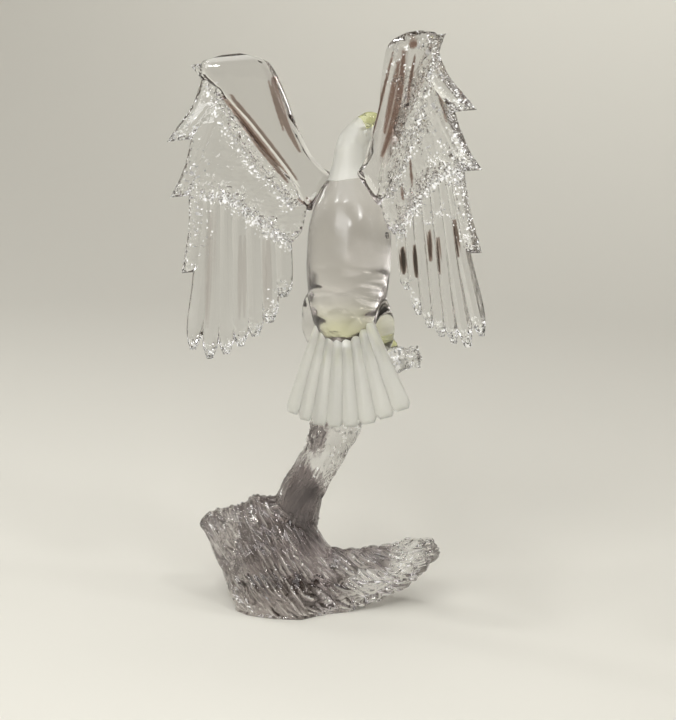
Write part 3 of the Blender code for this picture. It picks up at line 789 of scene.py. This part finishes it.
def boss(up, radius):
    # Small round boss on the right of the back, with a groove round its stem
    turn = body["bossTurn"]
    y = smoothCurve([0, 0.26, 0.51, 0.75, 1], [0.246, 0.177, 0.098, 0.025, -0.033], up) * eagle["height"]
    reach = smoothCurve([0.3, 0.42, 0.56, 0.67, 0.76], [0.95, 1.0, 0.98, 0.88, 0.72], up) * body["halfWidth"]
    centre = np.array([reach * cos(turn), y + reach * sin(turn), eagle["foot"] + up * eagle["height"]])
    outward = np.array([cos(turn), sin(turn), 0])
    at = np.linspace(0, 1, 16)
    path = centre + outward * (at[:, None] * 1.4 - 0.9) * mm
    size = radius * np.sqrt(np.clip(1 - (2 * at - 1) ** 6, 0.02, 1))
    size = size * (1 - 0.25 * np.exp(-((at - 0.72) / 0.08) ** 2))
    return tube("boss", path, size, size, turn + pi / 2, sides=32)


def makeBody():
    forms = bodyForms()
    core = finished(carveFace(softened(joined(forms[0], forms[1:]), body["voxel"], body["flow"])), 0)
    toes = [finished(part, 2) for side in (1, -1) for part in foot(side)]
    feathers = [finished(tailFeather(i), 1) for i in range(tail["count"])]
    bosses = [finished(boss(*place), 0) for place in body["bosses"]]
    obj = banked(joined(core, toes + bosses + feathers))
    joined(obj, [branch(grow=eagle["gap"], perchOnly=True)], "DIFFERENCE")
    obj.name = "eagleBody"
    return obj


# Base and branch

base = {
    "turn": radians(20),
    "slabEnd": 45.5 * mm,
    "rootEnd": 34.5 * mm,
    "slabHeight": 36 * mm,
    "halfDepth": 19.4 * mm,
    "branchHeight": 85.5 * mm,
    "trunk": 7.4 * mm,
    "stub": 4.2 * mm,
    "wave": 0.8 * mm,              # broad waves in the wood, as the solid has them
    "voxel": 0.40 * mm,
    "flow": 4,                     # rounds of smoothing where trunk and root meet
    "groove": 1.5 * mm,            # pitch of the carved grain
    "grooveDepth": 0.8 * mm,
    "knot": 3.2 * mm,              # size of the lumps on the trunk and the stub
    "glint": 0.7 * mm,             # size of the painted glints, white marks on the ridges of the grain, and their share
    "glints": 0.36,
}
turnCos, turnSin = cos(base["turn"]), sin(base["turn"])
turnBase = np.array([[turnCos, turnSin, 0], [-turnSin, turnCos, 0], [0, 0, 1]])


def branchPath(share):
    # Middle line and radius of the trunk, which leans over and levels out into the perch and a cut stub
    keys = [0, 0.10, 0.22, 0.30, 0.40, 0.55, 0.68, 0.78, 0.88, 1.0]
    x = [0.187, 0.171, 0.136, 0.105, 0.070, 0.021, -0.041, -0.105, -0.193, -0.287]
    y = [0, 0, 0.006, 0.014, 0.026, 0.049, 0.070, 0.076, 0.076, 0.074]
    z = [0.140, 0.327, 0.450, 0.511, 0.585, 0.731, 0.883, 0.953, 0.982, 1.0]
    radius = [r * base["trunk"] for r in (1.35, 1.15, 1.0, 0.96, 0.98, 1.12, 0.95)]
    radius += [eagle["perchRadius"], base["stub"], base["stub"]]
    path = np.stack([smoothCurve(keys, v, share) for v in (x, y, z)], 1) * base["branchHeight"]
    return path @ turnBase, smoothCurve(keys, radius, share)


def branch(grow=0.0, perchOnly=False):
    share = np.linspace(0.62 if perchOnly else 0, 1, 60 if perchOnly else 140)
    path, radius = branchPath(share)

    def knots(v, angle):
        # Uneven swellings round the trunk, fading out towards the perch
        row = 18 * v
        rough = np.sin(2 * angle + 0.9 * row) * np.sin(1.7 * row + 1) + 0.6 * np.sin(5 * angle - 0.4 * row)
        return 0.045 * rough * np.clip((14 - row) / 4, 0, 1)

    return tube("branch", path, radius + grow, radius + grow, base["turn"] + pi / 2, sides=64,
                relief=None if perchOnly else knots)


def rootForm():
    # Slab and root, lofted along the base from the slab's end to the root's
    share = np.linspace(0, 1, 240)
    x = base["slabEnd"] - share * (base["slabEnd"] + base["rootEnd"])
    top = smoothCurve([0, 0.02, 0.056, 0.16, 0.228, 0.30, 0.42, 0.50, 0.55, 0.60, 0.76, 0.89, 0.955, 1],
                      [0.76, 0.80, 0.835, 0.90, 1, 0.985, 0.86, 0.66, 0.53, 0.51, 0.56, 0.64, 0.655, 0.52],
                      share) * base["slabHeight"]
    low = smoothCurve([0, 0.025, 0.06, 0.10, 0.14, 0.165, 0.61, 0.66, 0.76, 0.86, 0.92, 0.96, 1],
                      [0.66, 0.58, 0.42, 0.22, 0.06, 0, 0, 0.015, 0.06, 0.15, 0.26, 0.37, 0.44],
                      share) * base["slabHeight"]
    half = smoothCurve([0, 0.03, 0.08, 0.165, 0.22, 0.35, 0.42, 0.50, 0.56, 0.63, 0.75, 0.88, 0.96, 1],
                       [0.22, 0.33, 0.48, 0.68, 0.88, 1, 1, 0.80, 0.66, 0.56, 0.46, 0.40, 0.28, 0.12],
                       share) * base["halfDepth"]
    low, top, half, along = low[:, None], top[:, None], half[:, None], share[:, None]
    stand = np.clip(1 - 7 * low / base["slabHeight"], 0, 1)
    key, at = np.arange(10), np.linspace(0, 9, 90)
    up = (stand * smoothCurve(key, [1, 0.96, 0.87, 0.74, 0.58, 0.42, 0.26, 0.11, 0, 0], at)
          + (1 - stand) * smoothCurve(key, [1, 0.97, 0.90, 0.80, 0.68, 0.54, 0.40, 0.24, 0.09, 0], at))
    out = (stand * smoothCurve(key, [0.10, 0.27, 0.44, 0.59, 0.73, 0.85, 0.95, 1, 0.96, 0.35], at)
           + (1 - stand) * smoothCurve(key, [0.16, 0.40, 0.62, 0.80, 0.93, 1, 0.97, 0.85, 0.60, 0.22], at))
    side = np.repeat([1, -1], up.shape[1])
    up = np.concatenate([up, up[:, ::-1]], 1)
    out = np.concatenate([out, out[:, ::-1]], 1)
    wave = np.sin(side * 9 * up + 14 * along) + 0.6 * np.sin(side * 17 * up - 9 * along)
    fade = np.clip(6 * up * (1 - up), 0, 1) * np.minimum(1, 1.6 * half / base["halfDepth"])
    depth = side * (half * out + base["wave"] * wave * fade)
    rings = np.stack([x[:, None] + 0 * depth, depth, low + (top - low) * up], -1)
    return loft("root", rings @ turnBase)


def grain(points):
    # Carved grain: grooves slant down from the slab's top, swing level along the root and run up
    # the trunk. A point's level across the grain is its height less the integral of the slope.
    p = points @ turnBase.T
    x, z = p[:, 0] / mm, p[:, 2] / mm
    share = np.linspace(0, 1, 400)
    path, radius = branchPath(share)
    step = np.abs(path[None, :, 2] - points[:, None, 2]).argmin(1)
    off = points - path[step]
    away = np.linalg.norm(off, axis=1) / radius[step]
    onTrunk = ease((1.5 - away) / 0.4) * ease((z - 26) / 8)
    span = np.linspace(-50, 60, 300)
    slope = smoothCurve([-40, -20, -5, 5, 42], [0.0, 0.1, 0.5, 1.0, 1.5], span)
    level = z - np.interp(x, span, np.cumsum(slope) * 110 / 300)
    pitch = base["groove"] / mm * np.interp(x, [-20, 10, 40], [1.3, 1.4, 1.7])
    warp = ripple(points, 7 * mm)
    through = np.sign(p[:, 1]) * 3 + p[:, 1] / mm / 9
    slab = np.stack([level / pitch + 0.5 * warp, x / 7.5 + 0.2 * warp, through], -1)
    around = np.arctan2(off[:, 1], off[:, 0]) * radius[step] / mm
    trunk = np.stack([around / 1.6 + 0.4 * warp, z / 9, 0 * z + 7.0], -1)
    cut = []
    for grid in (slab, trunk):
        near, ridge = chips(grid, 1.0)
        cut.append(1 - np.clip(1.7 * ridge, 0, 1) + 0.35 * near)
    # Knots on the trunk's slab side below the tail, and all round the stub past the feet
    slabSide = ease(((off @ turnBase.T)[:, 0] / radius[step] + 0.3) / 0.5)
    onStub = ease((-x - 17.5) / 2.5) * ease((z - 60) / 10)
    coarse = chips(points, base["knot"])[1]
    fine = chips(points, 0.5 * base["knot"])[1]
    knots = 1.3 * (1 - np.clip(1.6 * coarse, 0, 1)) + 0.5 * (1 - np.clip(2 * fine, 0, 1))
    knots = (between(z, 50, 82, 5, 6) * slabSide + onStub) * knots
    onSlab = (1 - onTrunk) * ease((60 - z) / 8)
    streaks = 0.75 * onTrunk * ease((66 - z) / 16)
    return base["grooveDepth"] * (onSlab * cut[0] + streaks * cut[1] + knots) + 0.02 * mm


def makeBase():
    obj = softened(joined(rootForm(), [branch()]), base["voxel"], base["flow"])
    points, normals = meshArrays(obj)
    depth = grain(points)
    flat = points[:, 2] < 0.15 * mm
    points = points - normals * np.where(flat, 0, depth)[:, None]
    points[:, 2] = np.where(flat | (points[:, 2] < 0), 0, points[:, 2])
    setPoints(obj, points)
    paintBaseShade(obj, points, depth / base["grooveDepth"])
    obj.name = "branchBase"
    return obj


def paintBaseShade(obj, points, groove):
    # Painted shade on the crystal of the base: dark patches, most where the trunk meets it, and darkest in
    # the grooves. x and z are in mm, along the base and up.
    p = points @ turnBase.T / mm
    x, z = p[:, 0], p[:, 2]
    streak = np.clip(groove, 0, 1) ** 1.3
    deep = np.clip(2.2 * groove - 1.1, 0, 1)
    deepest = np.clip(2.4 * groove - 2.6, 0, 1)
    left = np.interp(z, [20, 33, 39, 48], [11.2, 18.5, 17, 13])
    right = np.interp(z, [20, 23, 37, 48], [2.1, 4.2, 4.2, 9.5])
    trunk = between(x, right - 1, left + 1.5, 2, 2) * between(z, 17, 54, 3, 10)
    root = 0.85 * between(x, -21, 2, 5, 3) * between(z, 11, 24, 4, 3)
    belly = 0.4 * np.exp(-((x - 14) / 8) ** 2 - ((z - 10) / 8) ** 2)
    slab = 0.6 * ease((x + 8) / 8) * between(z, 1, 42, 5, 5) * (1 - 0.45 * ease((x - 24) / 8))
    knots = ease((x - 3.5 + (z - 60) / 4) / 2) * between(z, 47, 74, 5, 6)
    patches = [trunk * (0.80 + 0.2 * streak), root * (0.6 + 0.4 * deep) + belly * (0.35 + 0.65 * deep),
               1.35 * slab * deep, knots * deepest]
    mark(obj, "paintedShade", np.clip(np.max(patches, axis=0) * (0.9 + 0.2 * ripple(points, 5 * mm)), 0, 0.97))
    # Painted glints: white faces on the ridges of the grain, fewer on the trunk
    mark(obj, "sparkle", np.clip(1 - 3 * groove, 0, 1) * (1 - 0.8 * trunk))


leftWing = makeWing(1, "leftWing")
report("left wing")
rightWing = makeWing(-1, "rightWing")
report("right wing")
eagleBody = makeBody()
report("body")
branchBase = makeBase()
report("base")


# Studio

studio = {
    "flatRadius": 0.55,       # metres of flat floor round the figurine
    "rimRadius": 1.25,
    "rimHeight": 0.6,
    "floor": "#D8D6CC",       # matt paper, a little warm
    "room": "#33241D",        # dim brown room above the paper sweep
    "spotSize": 0.08,         # metres, small enough for sharp glints in the cuts
    "spotPower": 0.55,        # watts
    "spots": [(-0.45, 0.25, 0.7), (0.4, 0.3, 0.8), (0.05, 0.4, 0.9), (-0.7, -0.1, 0.5), (0.7, -0.1, 0.5),
              (-0.2, 0.6, 0.6)],
    "seam": 0.1 * mm,         # air under the base, so that rays leave the glass before the paper
}


def addLight(name, place, target, width, height, power):
    data = bpy.data.lights.new(name, "AREA")
    data.shape = "RECTANGLE"
    data.size, data.size_y = width, height
    data.energy = power
    light = bpy.data.objects.new(name, data)
    light.location = place
    light.rotation_euler = (Vector(target) - Vector(place)).to_track_quat("-Z", "Y").to_euler()
    bpy.context.collection.objects.link(light)


def newMaterial(name):
    mat = bpy.data.materials.new(name)
    mat.use_nodes = True
    return mat, mat.node_tree.nodes["Principled BSDF"]


def addFloor():
    # A disc that curves up at its rim: radius and height along a quarter arc
    arc = np.linspace(0, pi / 2, 40)
    flat = np.linspace(0, studio["flatRadius"], 12)
    rise = studio["rimRadius"] - studio["flatRadius"]
    r = np.concatenate([flat, studio["flatRadius"] + rise * np.sin(arc)[1:]])
    z = np.concatenate([0 * flat, studio["rimHeight"] * (1 - np.cos(arc))[1:]]) - studio["seam"]
    a = np.linspace(0, 2 * pi, 96, endpoint=False)
    points = np.stack([r[:, None] * np.cos(a), r[:, None] * np.sin(a), z[:, None] + 0 * a], -1)
    quads = ringQuads(len(r), len(a))[len(a):, ::-1].tolist()
    floor = newObject("paperSweep", points.reshape(-1, 3), quads + [list(range(len(a), 2 * len(a)))])
    floor.data.validate()
    floor.data.shade_smooth()
    mat, shader = newMaterial("mattPaper")
    shader.inputs["Base Color"].default_value = linearColour(studio["floor"])
    shader.inputs["Roughness"].default_value = 0.85
    floor.data.materials.append(mat)


addFloor()
world = bpy.data.worlds.new("room")
world.use_nodes = True
world.node_tree.nodes["Background"].inputs["Color"].default_value = linearColour(studio["room"])
bpy.context.scene.world = world
addLight("softBox", (0, 0.05, 1.0), (0, 0.05, 0), 1.2, 0.9, 6.6)
addLight("rimWash", (0, -0.85, 0.75), (0, -1.25, 0.45), 1.0, 0.2, 2.5)
addLight("fill", (0.1, 0.75, 0.7), (0, 0, 0.12), 0.6, 0.4, 4.5)
for n, place in enumerate(studio["spots"]):
    addLight(f"spot{n}", place, (0, 0, 0.1), studio["spotSize"], studio["spotSize"], studio["spotPower"])
report("studio lit")


# Finishes

def addNode(tree, kind, inputs=None, **settings):
    # One node with its settings; an input is a value or another node's socket
    node = tree.nodes.new("ShaderNode" + kind)
    for key, value in settings.items():
        setattr(node, key, value)
    for key, value in (inputs or {}).items():
        if isinstance(value, bpy.types.NodeSocket):
            tree.links.new(value, node.inputs[key])
        else:
            node.inputs[key].default_value = value
    return node


def crystal(name, colour, ripple, waves, patch, rough, seeThrough=1.0, tint=None, absorb=None, cuts=None,
            polish=None):
    # Cast crystal, see-through by its shader's own values. Its skin is never quite even: waves that
    # are ripple mm apart bend the light that passes, and patches dull the polish here and there.
    mat, shader = newMaterial(name)
    tree = mat.node_tree
    shader.inputs["Base Color"].default_value = linearColour(colour)
    shader.inputs["IOR"].default_value = 1.5
    shader.inputs["Transmission Weight"].default_value = seeThrough
    place = addNode(tree, "TexCoord").outputs["Object"]

    def noise(size, detail):
        spread = {"Vector": place, "Scale": 1 / (size * mm), "Detail": detail}
        return addNode(tree, "TexNoise", spread).outputs["Fac"]

    def marked(attribute):
        return addNode(tree, "Attribute", attribute_name=attribute).outputs["Fac"]

    def vectors(operation, a, b, output="Vector"):
        return addNode(tree, "VectorMath", {0: a, 1: b}, operation=operation).outputs[output]

    bump = addNode(tree, "Bump", {"Height": noise(ripple, 2.0), "Strength": 1.0, "Distance": waves * mm})
    normal = bump.outputs["Normal"]
    if cuts:
        # Tiny cuts: each cell of the pattern is a plane through its own centre, tilted its own way
        cells = addNode(tree, "TexVoronoi", {"Vector": place, "Scale": 1 / (cuts * mm)})
        away = vectors("SUBTRACT", place, cells.outputs["Position"])
        lean = vectors("SUBTRACT", cells.outputs["Color"], (0.5, 0.5, 0.5))
        height = vectors("DOT_PRODUCT", away, lean, "Value")
        steep = {"Height": height, "Strength": marked("sparkle"), "Distance": 1.3, "Normal": normal}
        normal = addNode(tree, "Bump", steep).outputs["Normal"]
    tree.links.new(normal, shader.inputs["Normal"])
    if absorb:
        # Thick crystal swallows a little light, and red least: glances along a plate come out brown
        volume = addNode(tree, "VolumeAbsorption", {"Color": linearColour("#A28979"), "Density": absorb})
        tree.links.new(volume.outputs["Volume"], tree.nodes["Material Output"].inputs["Volume"])
    grades = {"Value": noise(patch, 3.0), "From Min": 0.3, "From Max": 0.7,
              "To Min": rough[0], "To Max": rough[1]}
    roughness = addNode(tree, "MapRange", grades).outputs["Result"]
    if polish:
        # Polished where the piece is marked so
        grades = {"Factor": marked("polish"), "A": roughness, "B": polish}
        roughness = addNode(tree, "Mix", grades).outputs["Result"]
    tree.links.new(roughness, shader.inputs["Roughness"])
    if tint:
        # Painted colour in the crystal, which is painted shade on the wings and the base, and on the back the
        # painted yellow of the feet seen through it: the mark it follows, then its light and its deep tone
        attribute, *tones = tint
        ramp = addNode(tree, "ValToRGB", {"Fac": marked(attribute)})
        ramp.color_ramp.elements.new(0.6)
        for stop, tone in zip(ramp.color_ramp.elements, (colour, *tones)):
            stop.color = linearColour(tone)
        tree.links.new(ramp.outputs["Color"], shader.inputs["Base Color"])
    return mat


# Clear crystal with a hand-polished skin: crisp highlights and see-through plates, with painted shade in
# brown on the wings' marked bars
clear = crystal("polishedCrystal", "#FCFDFD", ripple=5, waves=0.05, patch=3, rough=(0.0, 0.02), cuts=0.7,
                tint=("paintedShade", "#9A7F74", "#3A2F27"), absorb=18.0)
# Painted glints: nearly opaque white faces that stand in for the sparkle of the cuts
paintedGlintWhite = crystal("paintedGlintCrystal", "#FFFFFF", ripple=0.8, waves=0.05, patch=1, rough=(0.15, 0.35),
                 seeThrough=0.1)
# Carved crystal: the same melt, a little duller where the tool cut its grain, and darkened by painted shade
# where the base is marked
carved = crystal("carvedCrystal", "#FAFBFB", ripple=2.5, waves=0.05, patch=2, rough=(0.0, 0.05),
                 tint=("paintedShade", "#A3999A", "#2B2528"), absorb=9.0)
# Satin crystal of the back, painted yellow-green where the dyed feet show through the legs: a soft view
# through, no sharp shapes
satin = crystal("satinCrystal", "#F6F7F6", ripple=6, waves=0.05, patch=3, rough=(0.14, 0.24), polish=0.045,
                tint=("paintedFeetView", "#E8EBB4", "#DDE28F"), absorb=14.0)
# Frosted crystal of head and tail, acid-etched: milky white, light spreads in it
frosted = crystal("frostedCrystal", "#ECECE6", ripple=0.9, waves=0.03, patch=2, rough=(0.32, 0.46),
                  seeThrough=0.72)
# Dyed crystal of the beak and the feet: glossy yellow-green
dyed = crystal("yellowDyedCrystal", "#EAECB8", ripple=2, waves=0.03, patch=1.5, rough=(0.03, 0.1),
               seeThrough=0.85)

sharpFrom = radians(38)       # edges that turn further than this stay crisp


def dress(obj, node, materials, index):
    obj.data.materials.clear()
    for material in materials:
        obj.data.materials.append(material)
    obj.data.polygons.foreach_set("material_index", index.astype(np.int32))
    obj.data.shade_smooth()
    obj.data.set_sharp_from_angle(angle=sharpFrom)
    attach(obj, "root")
    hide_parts(node)
    obj.data.calc_loop_triangles()
    print(obj.name, len(obj.data.loop_triangles), "triangles")


def paintFeetViewAndPolish(obj):
    # Painted yellow on the legs and the belly between them: the dyed feet as seen through the rump. The back
    # is satin and grows polished towards rump and legs, where branch and feet show through it. Right
    # above the tail it is satin again.
    points = upright(meshArrays(obj)[0])
    up = (points[:, 2] - eagle["foot"]) / eagle["height"]
    across = np.abs(points[:, 0] - 1.2 * eagle["curve"]) / mm
    back = points[:, 1] / eagle["height"]
    amount = 0.8 * ease((0.26 - up) / 0.22) * ease((9.5 - across) / 4) * ease((0.20 - back) / 0.1)
    mark(obj, "paintedFeetView", amount)
    aboveTail = ease((0.17 - up) / 0.08) * ease((back - 0.16) / 0.08)
    mark(obj, "polish", ease((0.46 - up) / 0.2) * (1 - 0.9 * aboveTail))


def bodyFinish(obj):
    # 0 torso and legs, 1 frosted tail and head, 2 dyed feet, beak and brow
    index = np.zeros(len(obj.data.polygons), np.int32)
    obj.data.polygons.foreach_get("material_index", index)
    straight = upright(faceCentres(obj))
    up = (straight[:, 2] - eagle["foot"]) / eagle["height"]
    turn = body["headTurn"]
    ahead = -(straight[:, 1] - body["nape"]) * cos(turn) - straight[:, 0] * sin(turn)
    ahead, rise = ahead / body["headLength"], (up - 1) * eagle["height"] / body["headLength"]
    index = np.where(up > body["frostedFrom"], 1, index)
    return np.where(((ahead > body["brow"]) & (rise > body["browUp"])) | (ahead > body["beak"]), 2, index)


paintFeetViewAndPolish(eagleBody)
for obj, node in ((leftWing, "left_wing"), (rightWing, "right_wing"), (eagleBody, "eagle_body"),
                  (branchBase, "branch_base")):
    keptInside(obj, node)
for obj, node in ((leftWing, "left_wing"), (rightWing, "right_wing")):
    dress(obj, node, [clear, paintedGlintWhite], paintedGlintFaces(obj, wing["speck"], wing["specks"]))
dress(eagleBody, "eagle_body", [satin, frosted, dyed], bodyFinish(eagleBody))
dress(branchBase, "branch_base", [carved, paintedGlintWhite],
      paintedGlintFaces(branchBase, base["glint"], base["glints"]))

scene = bpy.context.scene
scene.view_settings.view_transform = "Standard"
scene.cycles.max_bounces = 24
scene.cycles.transmission_bounces = 24
scene.cycles.glossy_bounces = 5       # light trapped in thick edges dies away, which draws them dark
scene.cycles.transparent_max_bounces = 8

report("dressed")
